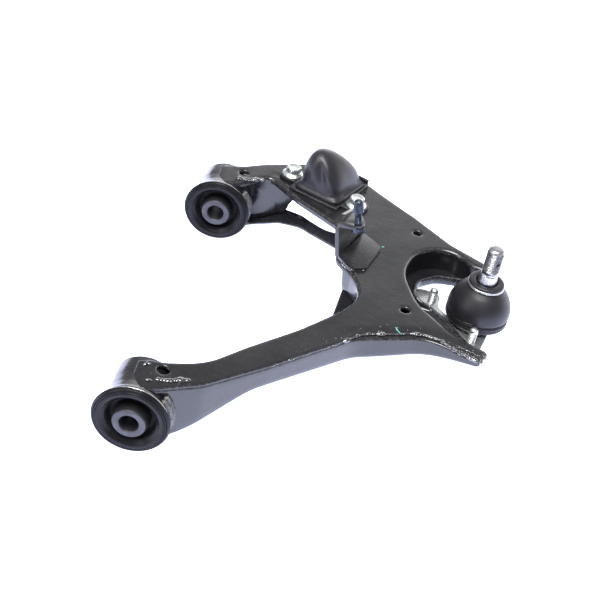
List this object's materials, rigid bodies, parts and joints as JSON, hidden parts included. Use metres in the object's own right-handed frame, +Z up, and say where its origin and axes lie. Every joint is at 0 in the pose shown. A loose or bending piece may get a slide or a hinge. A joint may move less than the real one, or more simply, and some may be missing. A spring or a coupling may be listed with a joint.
{
  "type": "suspension control arm",
  "caption": "Lower suspension control arm: welded steel A-shaped shell with rubber pivot bushes, a ball joint with dust boot, a rubber bump stop and a link bracket.",
  "frame": {"origin": "centre of the rear pivot bush, on the pivot axis", "axes": "+X outboard from the pivot axis to the ball joint, +Y along the pivot axis from the rear bush to the front bush, +Z up, the way the ball stud points"},
  "size_m": [0.333, 0.4191, 0.1239],
  "materials": {
    "arm_paint": "gloss black electrocoat",
    "blued_steel": "dark blue-black phosphate",
    "bare_steel": "machined",
    "zinc": "zinc plated",
    "rubber": "satin",
    "boot_rubber": "matte",
    "seat_plastic": "moulded"
  },
  "bodies": {
    "arm": {"upper_shell": "arm_paint", "lower_shell": "arm_paint", "rear_bush_tube": "arm_paint", "front_bush_tube": "arm_paint", "front_web": "arm_paint", "link_bracket": "arm_paint", "link_stud": "blued_steel", "bump_stop_rubber": "rubber", "bump_stop_plate": "arm_paint", "bump_stop_bolts": "zinc", "bump_stop_weld_nuts": "zinc", "rear_outer_sleeve": "bare_steel", "rear_bush_rubber": "rubber", "front_outer_sleeve": "bare_steel", "front_bush_rubber": "rubber", "ball_joint_housing": "zinc", "flange_studs": "zinc", "ball_seat_upper": "seat_plastic", "ball_seat_lower": "seat_plastic", "ball_joint_cover": "zinc", "dust_boot": "boot_rubber", "boot_lower_ring": "rubber"},
    "rear_sleeve": {"rear_inner_sleeve": "bare_steel"},
    "front_sleeve": {"front_inner_sleeve": "bare_steel"},
    "stud_swing": {"boot_upper_ring": "bare_steel"},
    "stud": {"ball_stud": "bare_steel"}
  },
  "joints": [
    {"name": "rear_bush_twist", "type": "hinge", "parent": "arm", "child": "rear_sleeve", "pos_m": [0, 0, 0], "axis": [0, 1, 0], "range_deg": [-30, 30], "stiffness_Nm_per_rad": 60},
    {"name": "front_bush_twist", "type": "hinge", "parent": "arm", "child": "front_sleeve", "pos_m": [0, 0.325, 0], "axis": [0, 1, 0], "range_deg": [-30, 30], "stiffness_Nm_per_rad": 60},
    {"name": "ball_joint_swing", "type": "hinge", "parent": "arm", "child": "stud_swing", "pos_m": [0.27, 0.22, -0.002], "axis": [0, 1, 0], "range_deg": [-18, 18], "deforming": ["dust_boot"]},
    {"name": "ball_stud_turn", "type": "hinge", "parent": "stud_swing", "child": "stud", "pos_m": [0.27, 0.22, -0.002], "axis": [0, 0, 1], "continuous": true}
  ],
  "couplings": [
    {"joint": "front_bush_twist", "follows": "rear_bush_twist", "ratio": 1}
  ]
}
